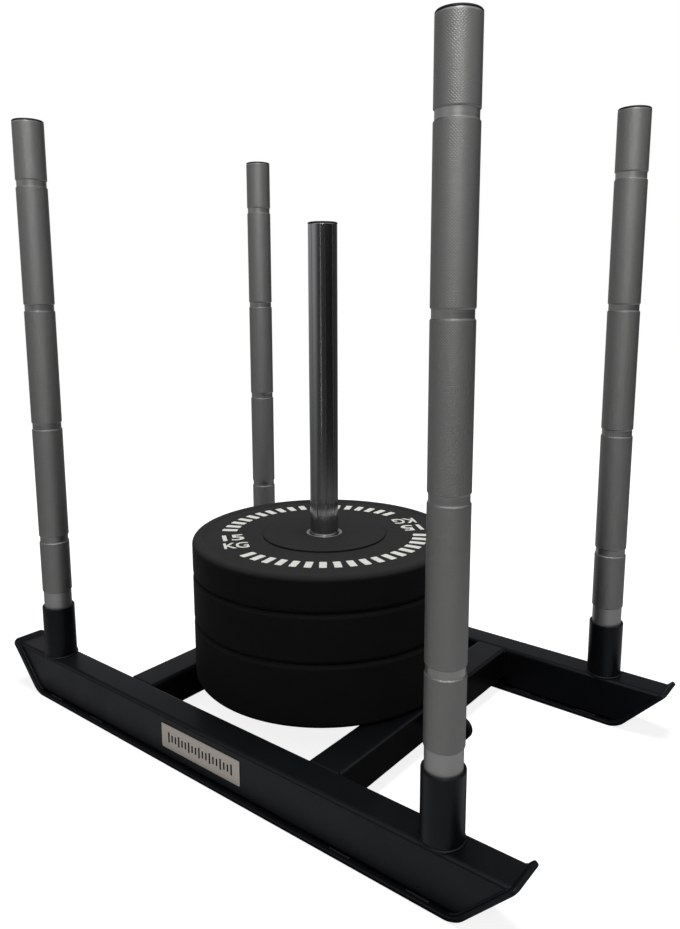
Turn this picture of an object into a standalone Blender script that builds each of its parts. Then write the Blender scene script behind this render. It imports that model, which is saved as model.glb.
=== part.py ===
"""Weight sled: two skid runners, a welded cross frame, a loading pin with three rubber
bumper plates and four knurled push poles that stand in sockets.

Metres, +Z up. +X runs along the runners, +Y from the near runner to the far one. The floor
is Z = 0 and the loading pin stands on the origin.
"""
from math import cos, pi, radians, sin, tan

import bmesh
import bpy

GAP = 0.0003                    # air between faces that rest on each other

# Runner: a rectangular tube on a steel shoe that bends up over both of its ends
RUNNER_SPACING = 0.536          # between the runners' centre lines
RUNNER_WIDTH = 0.050
RUNNER_HEIGHT = 0.0725
TUBE_WALL = 0.003
TUBE_CORNER = 0.0045            # outer corner radius of every square-sided tube
BORE_CORNER = 0.0015            # the same inside
SHOE_LIP = 0.0065               # the shoe is this much wider than the tube on each side
SHOE_THICKNESS = 0.0065
SHOE_FLAT = 0.879               # underside, between the corners of the two bends
NOSE_ANGLE = radians(46.5)      # how far the shoe's ends turn up
NOSE_RISE = 0.0068              # the turned-up ends stand this much above the tube
NOSE_BEND = 0.036               # radius of the bend, outside
NOSE_CORNER = 0.0095            # radius of a turned-up end's two corners, seen face on
SHOE_EDGE = 0.0009

# Cross frame: two square tubes between the runners and one between those two
CROSS_SIZE = 0.057
CROSS_REACH = 0.0035            # their outer faces stand this far outside the plates

# Tow lug: a plate with an eye, on edge, on the middle of the front cross tube
LUG_EYE_OUT = 0.048             # eye centre from the tube's face
LUG_EYE = 0.020                 # bore of the eye
LUG_WALL = 0.0075               # metal round the eye
LUG_THICKNESS = 0.010
LUG_EDGE = 0.001

# Loading pin
PIN_DIAMETER = 0.048
PIN_WALL = 0.003
PIN_HEIGHT = 0.7562             # above the frame

# Bumper plates, all on one disc size and in three thicknesses
PLATE_DIAMETER = 0.450
LOWER_THICKNESS = 0.102
MIDDLE_THICKNESS = 0.079
UPPER_THICKNESS = 0.0575
HUB_DIAMETER = 0.212
FACE_SUNK = 0.002               # the ring between hub and rim lies this much lower
RIM_FLAT = 0.008
RIM_ROUND = 0.008
BORE_PLAY = 0.0025              # bush bore over the pin's diameter
BUSH_WALL = 0.00575
BUSH_EDGE = 0.0015

# Push poles and their sockets
POLE_INSET = 0.0365             # from the shoe's bend in to the pole's axis
POLE_DIAMETER = 0.0472          # of the smooth bands and of the smooth foot
POLE_WALL = 0.003
KNURL_STEP = 0.0014             # the knurled zones stand out this much
TOP_ZONE = 0.0925               # knurled length above the highest band
LONG_ZONE = 0.192               # knurled length between two bands
LOW_ZONE = 0.092                # knurled length below the lowest band
BAND_LENGTH = 0.010
BAND_COUNT = 4
FOOT_SHOWING = 0.029            # smooth foot between the socket and the knurling
SOCKET_HEIGHT = 0.0919
SOCKET_PLAY = 0.0016            # socket bore over the pole's diameter
SOCKET_WALL = 0.0031

# Plugs in the tops of the pin and the poles
CAP_LIP = 0.003
CAP_ROUND = 0.0022              # radius of the lip's upper edge
CAP_DEPTH = 0.016
PIN_CAP_REACH = 0.0004          # the pin's plug stands out this much past the pin

EDGE = 0.0008                   # small chamfer on turned edges

RUNNER_Y = RUNNER_SPACING / 2
SHOE_WIDTH = RUNNER_WIDTH + 2 * SHOE_LIP
RUNNER_BOTTOM = SHOE_THICKNESS + GAP
FRAME_TOP = RUNNER_BOTTOM + RUNNER_HEIGHT
NOSE_LENGTH = (FRAME_TOP + NOSE_RISE - SHOE_THICKNESS * cos(NOSE_ANGLE)) / sin(NOSE_ANGLE)
CROSS_X = PLATE_DIAMETER / 2 + CROSS_REACH - CROSS_SIZE / 2
CROSS_Z = FRAME_TOP - CROSS_SIZE / 2
PIN_TOP = FRAME_TOP + PIN_HEIGHT
BUSH_BORE = PIN_DIAMETER + BORE_PLAY
BUSH_OUTSIDE = BUSH_BORE + 2 * BUSH_WALL
POLE_X = SHOE_FLAT / 2 - POLE_INSET
SOCKET_FOOT = FRAME_TOP + GAP
SOCKET_TOP = SOCKET_FOOT + SOCKET_HEIGHT
SOCKET_BORE = POLE_DIAMETER + SOCKET_PLAY
KNURL_DIAMETER = POLE_DIAMETER + 2 * KNURL_STEP
POLE_FOOT = FRAME_TOP + 2 * GAP
KNURL_END = SOCKET_TOP + FOOT_SHOWING
POLE_TOP = (KNURL_END + LOW_ZONE + (BAND_COUNT - 1) * LONG_ZONE + BAND_COUNT * BAND_LENGTH
            + TOP_ZONE)

SIDES = (("near", -1), ("far", 1))
ENDS = (("front", 1), ("rear", -1))


def material(name, colour, metallic, roughness):
    made = bpy.data.materials.new(name)
    made.use_nodes = True
    shader = made.node_tree.nodes["Principled BSDF"]
    shader.inputs["Base Color"].default_value = (*colour, 1.0)
    shader.inputs["Metallic"].default_value = metallic
    shader.inputs["Roughness"].default_value = roughness
    made.diffuse_color = (*colour, 1.0)
    return made


def mesh_object(name, bm, collection, made=None):
    mesh = bpy.data.meshes.new(name)
    bm.to_mesh(mesh)
    bm.free()
    ob = bpy.data.objects.new(name, mesh)
    collection.objects.link(ob)
    if made:
        mesh.materials.append(made)
    return ob


def as_cutter(ob):
    ob.hide_render = True
    ob.display_type = "WIRE"
    return ob


def cut(ob, cutter, label):
    step = ob.modifiers.new(label, "BOOLEAN")
    step.operation = "DIFFERENCE"
    step.solver = "EXACT"
    step.object = cutter


def settle(ob):
    """Turn the result of an object's modifiers into its mesh."""
    rough = ob.data
    now = ob.evaluated_get(bpy.context.evaluated_depsgraph_get())
    ob.data = bpy.data.meshes.new_from_object(now)
    ob.modifiers.clear()
    ob.data.name = rough.name
    bpy.data.meshes.remove(rough)


def smooth(ob, angle):
    """Shade round faces smooth and keep the edges sharper than the angle."""
    for face in ob.data.polygons:
        face.use_smooth = True
    ob.data.set_sharp_from_angle(angle=radians(angle))


def bar_shape(length, width, height, corner, segments):
    """A bar along X with its four long edges rounded."""
    bm = bmesh.new()
    bmesh.ops.create_cube(bm, size=1.0)
    bmesh.ops.scale(bm, vec=(length, width, height), verts=bm.verts)
    long_edges = [e for e in bm.edges if abs(e.verts[0].co.x - e.verts[1].co.x) > length / 2]
    bmesh.ops.bevel(bm, geom=long_edges, offset=corner, offset_type="OFFSET",
                    segments=segments, profile=0.5, affect="EDGES", clamp_overlap=True)
    return bm


def square_tube(name, length, width, height, parts, cutters, made):
    """A square-sided tube along X, open at both ends."""
    tube = mesh_object(name, bar_shape(length, width, height, TUBE_CORNER, 3), parts, made)
    bore = mesh_object(name + "_bore",
                       bar_shape(length + 0.04, width - 2 * TUBE_WALL, height - 2 * TUBE_WALL,
                                 BORE_CORNER, 1), cutters)
    as_cutter(bore)
    bore.parent = tube
    cut(tube, bore, "Bore")
    smooth(tube, 35)
    return tube


def turned(name, points, steps, parts, made, closed=True):
    """Turn a profile, given as (radius, height) down the outer side, about Z."""
    bm = bmesh.new()
    verts = [bm.verts.new((r, 0.0, z)) for r, z in points]
    for a, b in zip(verts, verts[1:]):
        bm.edges.new((a, b))
    if closed:
        bm.edges.new((verts[-1], verts[0]))
    ob = mesh_object(name, bm, parts, made)
    screw = ob.modifiers.new("Turn", "SCREW")
    screw.axis = "Z"
    screw.angle = 2 * pi
    screw.steps = steps
    screw.render_steps = steps
    screw.use_merge_vertices = True
    screw.merge_threshold = 0.00001
    settle(ob)
    smooth(ob, 30)
    return ob


def nose_bend(raised):
    """Side view of the front bend, at a height above the shoe's underside."""
    radius = NOSE_BEND - raised
    start = SHOE_FLAT / 2 - NOSE_BEND * tan(NOSE_ANGLE / 2)
    steps = 4
    angles = [NOSE_ANGLE * i / steps for i in range(steps + 1)]
    return [(start + radius * sin(a), NOSE_BEND - radius * cos(a)) for a in angles]


def strip(points, width):
    """A surface that follows a side view, and its rows of vertices."""
    bm = bmesh.new()
    rows = [[bm.verts.new((x, y, z)) for y in (-width / 2, width / 2)] for x, z in points]
    for a, b in zip(rows, rows[1:]):
        bm.faces.new((a[0], b[0], b[1], a[1]))
    return bm, rows


def skid_shoe(name, side, parts, made):
    """The flat steel skid: a strip bent up at both ends, thickened upwards."""
    tip = (SHOE_FLAT / 2 + NOSE_LENGTH * cos(NOSE_ANGLE), NOSE_LENGTH * sin(NOSE_ANGLE))
    front = nose_bend(0.0) + [tip]
    bm, rows = strip([(-x, z) for x, z in reversed(front)] + front, SHOE_WIDTH)
    corners = rows[0] + rows[-1]
    bmesh.ops.bevel(bm, geom=corners, offset=NOSE_CORNER, offset_type="OFFSET", segments=4,
                    profile=0.5, affect="VERTICES", clamp_overlap=True)
    bm.normal_update()
    ob = mesh_object(name, bm, parts, made)
    ob.location = (0.0, side * RUNNER_Y, 0.0)
    plate = ob.modifiers.new("Thickness", "SOLIDIFY")
    plate.thickness = SHOE_THICKNESS
    plate.offset = 1.0
    plate.use_even_offset = True
    edge = ob.modifiers.new("Edge", "BEVEL")
    edge.width = SHOE_EDGE
    edge.segments = 1
    edge.limit_method = "ANGLE"
    edge.angle_limit = radians(50)
    settle(ob)
    smooth(ob, 30)
    return ob


def mitre_cutter(name, end, cutters):
    """A thick slab that cuts both runner tubes to the inner face of a turned-up end."""
    bend = nose_bend(SHOE_THICKNESS + GAP)
    x, z = bend[-1]
    points = bend + [(x + 0.2 * cos(NOSE_ANGLE), z + 0.2 * sin(NOSE_ANGLE))]
    if end < 0:
        points = [(-x, z) for x, z in reversed(points)]
    ob = as_cutter(mesh_object(name, strip(points, RUNNER_SPACING + 0.2)[0], cutters))
    plate = ob.modifiers.new("Thickness", "SOLIDIFY")
    plate.thickness = 0.12
    plate.offset = -1.0
    plate.use_even_offset = True
    return ob


def runner_tube(name, side, mitres, parts, cutters, made):
    length = SHOE_FLAT + 2 * NOSE_LENGTH
    tube = square_tube(name, length, RUNNER_WIDTH, RUNNER_HEIGHT, parts, cutters, made)
    tube.location = (0.0, side * RUNNER_Y, RUNNER_BOTTOM + RUNNER_HEIGHT / 2)
    for mitre in mitres:
        cut(tube, mitre, "Mitre")
    return tube


def cross_tube(name, end, parts, cutters, made):
    length = RUNNER_SPACING - RUNNER_WIDTH - 2 * GAP
    tube = square_tube(name, length, CROSS_SIZE, CROSS_SIZE, parts, cutters, made)
    tube.location = (end * CROSS_X, 0.0, CROSS_Z)
    tube.rotation_euler = (0.0, 0.0, pi / 2)
    return tube


def centre_beam(parts, cutters, made):
    """The beam under the plates, with the hole that the pin goes down through."""
    length = 2 * CROSS_X - CROSS_SIZE - 2 * GAP
    tube = square_tube("centre_beam", length, CROSS_SIZE, CROSS_SIZE, parts, cutters, made)
    tube.location = (0.0, 0.0, CROSS_Z)
    bm = bmesh.new()
    bmesh.ops.create_cone(bm, cap_ends=True, segments=48, radius1=PIN_DIAMETER / 2 + GAP,
                          radius2=PIN_DIAMETER / 2 + GAP, depth=0.03)
    hole = as_cutter(mesh_object("centre_beam_hole", bm, cutters))
    hole.location = (0.0, 0.0, FRAME_TOP)
    cut(tube, hole, "Pin hole")
    return tube


def tow_lug(parts, made):
    """A plate standing on edge, straight at its root and round about its eye."""
    curve = bpy.data.curves.new("tow_lug", "CURVE")
    curve.dimensions = "2D"
    curve.fill_mode = "BOTH"
    root = -LUG_EYE_OUT + GAP
    r = LUG_EYE / 2 + LUG_WALL
    arc = [(r * cos(a), r * sin(a)) for a in [radians(-90 + 180 * i / 14) for i in range(15)]]
    hole = [(LUG_EYE / 2 * cos(a), LUG_EYE / 2 * sin(a))
            for a in [2 * pi * i / 24 for i in range(24)]]
    for points in ([(root, -r)] + arc + [(root, r)], hole):
        line = curve.splines.new("POLY")
        line.points.add(len(points) - 1)
        for spot, (x, y) in zip(line.points, points):
            spot.co = (x, y, 0.0, 1.0)
        line.use_cyclic_u = True
    curve.extrude = LUG_THICKNESS / 2 - LUG_EDGE
    curve.bevel_depth = LUG_EDGE
    curve.bevel_resolution = 0
    curve.offset = -LUG_EDGE
    flat = bpy.data.objects.new("tow_lug_outline", curve)
    mesh = bpy.data.meshes.new_from_object(flat)
    bpy.data.objects.remove(flat)
    bm = bmesh.new()
    bm.from_mesh(mesh)
    bmesh.ops.remove_doubles(bm, verts=bm.verts, dist=0.00001)
    bpy.data.meshes.remove(mesh)
    ob = mesh_object("tow_lug", bm, parts, made)
    ob.location = (CROSS_X + CROSS_SIZE / 2 + LUG_EYE_OUT, 0.0, CROSS_Z)
    ob.rotation_euler = (pi / 2, 0.0, 0.0)
    return ob


def weight_pin(parts, made):
    """The upright tube: it stands on the beam's bottom wall."""
    foot = FRAME_TOP - CROSS_SIZE + TUBE_WALL + GAP
    r = PIN_DIAMETER / 2
    inside = r - PIN_WALL
    top = PIN_TOP - foot
    points = [(r - EDGE, top), (r, top - EDGE), (r, 0.0), (inside, 0.0), (inside, top)]
    ob = turned("weight_pin", points, 32, parts, made)
    ob.location = (0.0, 0.0, foot)
    return ob


def cap_points(lip_radius, tube_inside):
    """Plug profile: a lip with a rounded edge on the tube, and a plug in its bore."""
    plug = tube_inside - GAP
    top = GAP + CAP_LIP
    edge = [(lip_radius - CAP_ROUND * (1 - sin(a)), top - CAP_ROUND * (1 - cos(a)))
            for a in (0.0, pi / 4, pi / 2)]
    return [(0.0, top)] + edge + [(lip_radius, GAP), (plug, GAP), (plug, -CAP_DEPTH),
                                  (0.0, -CAP_DEPTH)]


def end_cap(name, place, lip_radius, tube_inside, steps, parts, made):
    ob = turned(name, cap_points(lip_radius, tube_inside), steps, parts, made, closed=False)
    ob.location = place
    return ob


def pole_points():
    """Push pole profile from its top down: knurled zones with smooth bands between them."""
    knurl, plain = KNURL_DIAMETER / 2, POLE_DIAMETER / 2
    inside = plain - POLE_WALL
    z = POLE_TOP - POLE_FOOT
    points = [(inside, z), (knurl - EDGE, z), (knurl, z - EDGE)]
    z -= TOP_ZONE
    for i in range(BAND_COUNT):
        points += [(knurl, z + KNURL_STEP), (plain, z)]
        z -= BAND_LENGTH
        points += [(plain, z), (knurl, z - KNURL_STEP)]
        z -= LONG_ZONE
    end = KNURL_END - POLE_FOOT
    points += [(knurl, end + KNURL_STEP), (plain, end), (plain, 2 * EDGE),
               (plain - 2 * EDGE, 0.0)]
    return points + [(inside, 0.0)]


def push_pole(name, x, y, parts, made):
    ob = turned(name, pole_points(), 24, parts, made)
    ob.location = (x, y, POLE_FOOT)
    return ob


def pole_socket(name, x, y, parts, made):
    bore = SOCKET_BORE / 2
    r = bore + SOCKET_WALL
    top = SOCKET_HEIGHT
    points = [(r - EDGE, top), (r, top - EDGE), (r, 0.0), (bore, 0.0), (bore, top - EDGE),
              (bore + EDGE, top)]
    ob = turned(name, points, 24, parts, made)
    ob.location = (x, y, SOCKET_FOOT)
    return ob


def plate_points(thick):
    """Half section of a bumper plate: hub, sunk ring, rim and rounded tread."""
    r = PLATE_DIAMETER / 2
    bore = BUSH_OUTSIDE / 2 + GAP
    hub = HUB_DIAMETER / 2
    rim = r - RIM_ROUND - RIM_FLAT
    half = RIM_ROUND * (1 - cos(pi / 4))
    upper = [(bore, thick), (hub - FACE_SUNK, thick), (hub, thick - FACE_SUNK),
             (rim - FACE_SUNK, thick - FACE_SUNK), (rim, thick), (r - RIM_ROUND, thick),
             (r - half, thick - half), (r, thick - RIM_ROUND)]
    return upper + [(x, thick - z) for x, z in reversed(upper)]


def bumper_plate(name, base, thick, parts, made):
    ob = turned(name, plate_points(thick), 50, parts, made)
    ob.location = (0.0, 0.0, base)
    return ob


def hub_bush(name, base, thick, parts, made):
    """Steel bush in the plate's bore, with a lead-in inside both ends."""
    r, bore = BUSH_OUTSIDE / 2, BUSH_BORE / 2
    points = [(r, thick), (r, 0.0), (bore + BUSH_EDGE, 0.0), (bore, BUSH_EDGE),
              (bore, thick - BUSH_EDGE), (bore + BUSH_EDGE, thick)]
    ob = turned(name, points, 26, parts, made)
    ob.location = (0.0, 0.0, base)
    return ob


def build():
    for ob in list(bpy.data.objects):
        bpy.data.objects.remove(ob)
    scene = bpy.context.scene
    parts = bpy.data.collections.new("weight_sled")
    cutters = bpy.data.collections.new("cutters")
    scene.collection.children.link(parts)
    scene.collection.children.link(cutters)

    paint = material("black_powder_coat", (0.020, 0.021, 0.023), 0.0, 0.45)
    skid = material("black_skid_paint", (0.016, 0.017, 0.018), 0.0, 0.50)
    chrome = material("chromed_pin", (0.55, 0.56, 0.58), 1.0, 0.12)
    knurled = material("knurled_pole", (0.42, 0.42, 0.40), 1.0, 0.35)
    rubber = material("black_rubber", (0.022, 0.021, 0.020), 0.0, 0.75)
    steel = material("hub_steel", (0.60, 0.60, 0.60), 1.0, 0.25)
    plug = material("black_plug", (0.015, 0.015, 0.015), 0.0, 0.50)

    mitres = [mitre_cutter("mitre_" + word, end, cutters) for word, end in ENDS]
    for word, side in SIDES:
        runner_tube("runner_tube_" + word, side, mitres, parts, cutters, paint)
        skid_shoe("skid_shoe_" + word, side, parts, skid)
    for word, end in ENDS:
        cross_tube("cross_tube_" + word, end, parts, cutters, paint)
    centre_beam(parts, cutters, paint)
    tow_lug(parts, paint)

    weight_pin(parts, chrome)
    end_cap("pin_cap", (0.0, 0.0, PIN_TOP), PIN_DIAMETER / 2 + PIN_CAP_REACH,
            PIN_DIAMETER / 2 - PIN_WALL, 32, parts, plug)

    base = FRAME_TOP + GAP
    for word, thick in (("lower", LOWER_THICKNESS), ("middle", MIDDLE_THICKNESS),
                        ("upper", UPPER_THICKNESS)):
        bumper_plate("bumper_plate_" + word, base, thick, parts, rubber)
        hub_bush("hub_bush_" + word, base, thick, parts, steel)
        base += thick + GAP

    for side_word, side in SIDES:
        for end_word, end in ENDS:
            word = side_word + "_" + end_word
            x, y = end * POLE_X, side * RUNNER_Y
            pole_socket("pole_socket_" + word, x, y, parts, paint)
            push_pole("push_pole_" + word, x, y, parts, knurled)
            end_cap("pole_cap_" + word, (x, y, POLE_TOP), KNURL_DIAMETER / 2,
                    POLE_DIAMETER / 2 - POLE_WALL, 24, parts, plug)


build()
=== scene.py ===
"""A weight sled, dressed for its picture: two skid runners, a welded cross frame, a loading
pin with three rubber bumper plates, and four knurled push poles standing in sockets.

Metres, +Z up. +X runs along the runners to the tow lug, +Y from the near runner to the far one.
"""

from contextlib import contextmanager
from math import cos, pi, radians, sin, tan

import bmesh
import bpy
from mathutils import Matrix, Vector


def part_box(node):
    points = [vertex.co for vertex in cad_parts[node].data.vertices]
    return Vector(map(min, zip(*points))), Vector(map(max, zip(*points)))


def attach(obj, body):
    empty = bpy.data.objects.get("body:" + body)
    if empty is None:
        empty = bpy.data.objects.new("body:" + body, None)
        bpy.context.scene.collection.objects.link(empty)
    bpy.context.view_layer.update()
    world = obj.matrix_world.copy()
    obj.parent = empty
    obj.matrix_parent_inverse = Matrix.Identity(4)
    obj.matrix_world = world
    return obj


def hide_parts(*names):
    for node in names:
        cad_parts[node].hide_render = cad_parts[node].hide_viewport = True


bl_info = {
    "name": "Weight sled",
    "version": (1, 0, 0),
    "blender": (4, 5, 0),
    "location": "3D View > Sidebar > Weight sled",
    "description": "Models the visible pieces of a weight sled around its packed frame",
    "category": "Add Mesh",
}

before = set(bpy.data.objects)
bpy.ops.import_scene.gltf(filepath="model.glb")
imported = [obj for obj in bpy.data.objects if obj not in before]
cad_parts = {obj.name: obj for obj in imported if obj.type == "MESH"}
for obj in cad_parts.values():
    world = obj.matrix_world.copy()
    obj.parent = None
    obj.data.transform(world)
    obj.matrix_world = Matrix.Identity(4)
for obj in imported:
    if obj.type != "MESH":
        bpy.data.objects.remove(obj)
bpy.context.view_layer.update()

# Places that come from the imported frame
TUBE_LO, TUBE_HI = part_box("runner_tube_near")
SHOE_LO, SHOE_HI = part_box("skid_shoe_near")
CROSS_LO, CROSS_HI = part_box("cross_tube_front")
BEAM_LO, BEAM_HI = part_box("centre_beam")
LUG_LO, LUG_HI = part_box("tow_lug")
PIN_LO, PIN_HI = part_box("weight_pin")
PIN_CAP_LO, PIN_CAP_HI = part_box("pin_cap")
SOCKET_LO, SOCKET_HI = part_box("pole_socket_far_front")
POLE_LO, POLE_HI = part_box("push_pole_far_front")
POLE_CAP_LO, POLE_CAP_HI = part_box("pole_cap_far_front")
DISC_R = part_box("bumper_plate_upper")[1].x
BUSH_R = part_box("hub_bush_upper")[1].x

# Sizes of the same pieces
GAP = 0.0003                    # air between pieces of the frame that rest on each other
RUNNER_Y = -(TUBE_LO.y + TUBE_HI.y) / 2
TUBE_WIDTH = TUBE_HI.y - TUBE_LO.y
FRAME_TOP = TUBE_HI.z
SHOE_WIDTH = SHOE_HI.y - SHOE_LO.y
SHOE_THICK = TUBE_LO.z - GAP
SHOE_FLAT = 0.879               # underside, between the corners of the skid's two bends
NOSE_ANGLE = radians(46.5)
NOSE_LENGTH = (SHOE_HI.z - SHOE_THICK * cos(NOSE_ANGLE)) / sin(NOSE_ANGLE)
CROSS_SIZE = CROSS_HI.z - CROSS_LO.z
CROSS_X = (CROSS_LO.x + CROSS_HI.x) / 2
CROSS_Z = (CROSS_LO.z + CROSS_HI.z) / 2
EYE_OUT = 0.048                 # from the cross tube to the lug's eye
EYE = 0.020
PIN_R = PIN_HI.x
PIN_WALL = 0.003
POLE_X = (POLE_LO.x + POLE_HI.x) / 2
KNURL_R = (POLE_HI.x - POLE_LO.x) / 2
KNURL_STEP = 0.0014             # a pole's smooth lengths lie this much under its knurl
PLAIN_R = KNURL_R - KNURL_STEP
POLE_WALL = 0.003
BAND_LENGTH = 0.010
ZONES = (0.0925, 0.192, 0.192, 0.192, 0.092)   # knurled lengths from the top down
TOP_RING = 0.0022               # smooth ring at a pole's top end
CAP_LIP = 0.003                 # height of a plug's lip
SOCKET_R = (SOCKET_HI.x - SOCKET_LO.x) / 2
SOCKET_WALL = 0.0031
SOCKET_BORE = SOCKET_R - SOCKET_WALL
HUB_R = 0.106
FACE_SUNK = 0.002               # the ring between hub and rim lies this much lower
HUB_GROOVE = 0.0012             # and the groove round the hub this much lower again
RIM_FLAT = 0.008                # of a disc's rim, inside its rounded edge
PIN_PLAY = 0.00125              # air between the pin and a bush
BUSH_BORE = PIN_R + PIN_PLAY

RING_STEP = 0.0011              # between the rings of a weld bead

LEVELS = ("lower", "middle", "upper")
SIDES = (("near", -1), ("far", 1))
ENDS = (("front", 1), ("rear", -1))


def linear(code):
    """An sRGB hex colour as linear red, green and blue."""
    parts = [int(code[i:i + 2], 16) / 255 for i in (1, 3, 5)]
    return tuple(p / 12.92 if p <= 0.04045 else ((p + 0.055) / 1.055) ** 2.4 for p in parts)


def length_property(name, text, value):
    """A size in metres."""
    return bpy.props.FloatProperty(name=name, description=text, default=value, min=0.0,
                                   unit="LENGTH", precision=5)


def colour_property(name, text, code):
    """A colour, given as sRGB hex."""
    return bpy.props.FloatVectorProperty(name=name, description=text, default=linear(code),
                                         size=3, min=0.0, max=1.0, subtype="COLOR")


class SledSizes(bpy.types.PropertyGroup):
    tube_corner: length_property(
        "Tube corner", "Outer corner radius of the square-sided tubes", 0.006)
    shoe_edge: length_property("Skid edge", "Rounding of the skid's edges", 0.0018)
    nose_bend: length_property("Nose bend", "Radius of the skid's bend, outside", 0.036)
    nose_corner: length_property(
        "Nose corner", "Radius of a turned-up end's corners", 0.0095)
    bead: length_property("Weld bead", "Radius of a weld bead", 0.0024)
    ripple: length_property("Weld ripple", "Height of the ripples on a bead", 0.00035)
    badge_length: length_property("Badge length", "Along the runner", 0.172)
    badge_height: length_property("Badge height", "Across the runner", 0.040)
    badge_thick: length_property("Badge thickness", "Of the metal", 0.0012)
    mark_inner: length_property(
        "Marks from", "Inner radius of the printed band on a disc", 0.1525)
    mark_outer: length_property(
        "Marks to", "Outer radius of the printed band on a disc", 0.1790)
    mark_width: length_property("Mark width", "Of one printed bar on a disc", 0.0118)
    figure: length_property("Figure height", "Of the printed figures on a disc", 0.0315)
    ink: length_property("Ink thickness", "Of the marks on a disc", 0.0006)
    knurl: length_property("Knurl pitch", "Between two grooves along a pole", 0.0034)
    rim_round: length_property("Disc edge", "Radius of a disc's outer edges", 0.008)
    plug_round: length_property("Plug edge", "Radius of a plug's upper edge", 0.0022)


class SledColours(bpy.types.PropertyGroup):
    coat: colour_property("Frame coat", "Powder coat of the frame", "#101113")
    skid: colour_property("Skid coat", "Powder coat of the skids", "#0e0f11")
    chrome: colour_property("Pin chrome", "Plating of the loading pin", "#c4c5c7")
    knurl: colour_property("Knurled chrome", "Dull plating of the push poles", "#9a9b99")
    band: colour_property("Smooth chrome", "Plating of the poles' smooth bands", "#adaeac")
    foot: colour_property("Pole foot", "Plating of the poles' feet", "#b6b7b5")
    rubber: colour_property("Rubber", "Moulded rubber of the discs", "#262627")
    bush: colour_property("Bush steel", "Turned steel of the bushes", "#c2c2c0")
    plug: colour_property("Plug", "Moulded plugs in the tube ends", "#141415")
    badge: colour_property("Badge", "Brushed metal of the badge", "#dad3c8")
    ink: colour_property("Ink", "Printed marks on the discs", "#cfcfca")
    scale: colour_property("Badge scale", "Printed bars on the badge", "#1c1b19")


# Modelling

def deselect():
    """Leave no object selected."""
    for ob in bpy.context.selected_objects:
        ob.select_set(False)


def take(ob):
    """Make one object the only selected and active one."""
    deselect()
    ob.select_set(True)
    bpy.context.view_layer.objects.active = ob


def named(name):
    """Name the object that an operator has just added, and put its place in its mesh."""
    ob = bpy.context.object
    ob.name = ob.data.name = name
    bpy.ops.object.transform_apply(location=True, rotation=True, scale=True)
    return ob


@contextmanager
def editing(ob):
    """Work on one object in edit mode."""
    take(ob)
    bpy.ops.object.mode_set(mode="EDIT")
    bpy.ops.mesh.select_mode(type="VERT")
    yield
    bpy.ops.object.mode_set(mode="OBJECT")


def pick(ob, kind, test):
    """In edit mode, select only the vertices, edges or faces that pass a test."""
    bpy.ops.mesh.select_mode(type=kind)
    bpy.ops.mesh.select_all(action="DESELECT")
    bm = bmesh.from_edit_mesh(ob.data)
    bm.normal_update()
    found = [item for item in {"VERT": bm.verts, "EDGE": bm.edges, "FACE": bm.faces}[kind]
             if test(item)]
    for item in found:
        item.select_set(True)
    bm.select_flush_mode()
    bmesh.update_edit_mesh(ob.data)
    if not found:
        raise RuntimeError(f"{ob.name}: nothing to select")


def pick_all():
    bpy.ops.mesh.select_all(action="SELECT")


def modify(ob, kind, **settings):
    """Add a modifier and apply it."""
    take(ob)
    step = ob.modifiers.new(kind.title(), kind)
    for key, value in settings.items():
        setattr(step, key, value)
    bpy.ops.object.modifier_apply(modifier=step.name)


def round_edges(ob, width, segments, angle):
    """Round the edges that are sharper than an angle in degrees."""
    modify(ob, "BEVEL", width=width, segments=segments, limit_method="ANGLE",
           angle_limit=radians(angle))


def middle(item):
    """Middle of an edge or a face."""
    return sum((v.co for v in item.verts), Vector()) / len(item.verts)


def along(edge, axis):
    """Whether an edge runs along an axis."""
    d = edge.verts[1].co - edge.verts[0].co
    return abs(d[axis]) > 0.9 * d.length


def round_along(ob, axis, radius, segments):
    """In edit mode, round the edges that run along an axis."""
    pick(ob, "EDGE", lambda e: along(e, axis))
    bpy.ops.mesh.bevel(offset=radius, segments=segments, affect="EDGES")


def block(name, centre, size):
    deselect()
    bpy.ops.mesh.primitive_cube_add(size=1.0, location=centre, scale=size)
    return named(name)


def square_bar(name, centre, size, axis, corner, cuts=()):
    """A square-sided tube: its long edges rounded, its ends cut square or on the slant."""
    ob = block(name, centre, size)
    with editing(ob):
        round_along(ob, axis, corner, 7)
        for place, normal in cuts:
            pick_all()
            bpy.ops.mesh.bisect(plane_co=place, plane_no=normal, use_fill=True,
                                clear_outer=True)
    round_edges(ob, 0.0007, 2, 35)
    return ob


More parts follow.
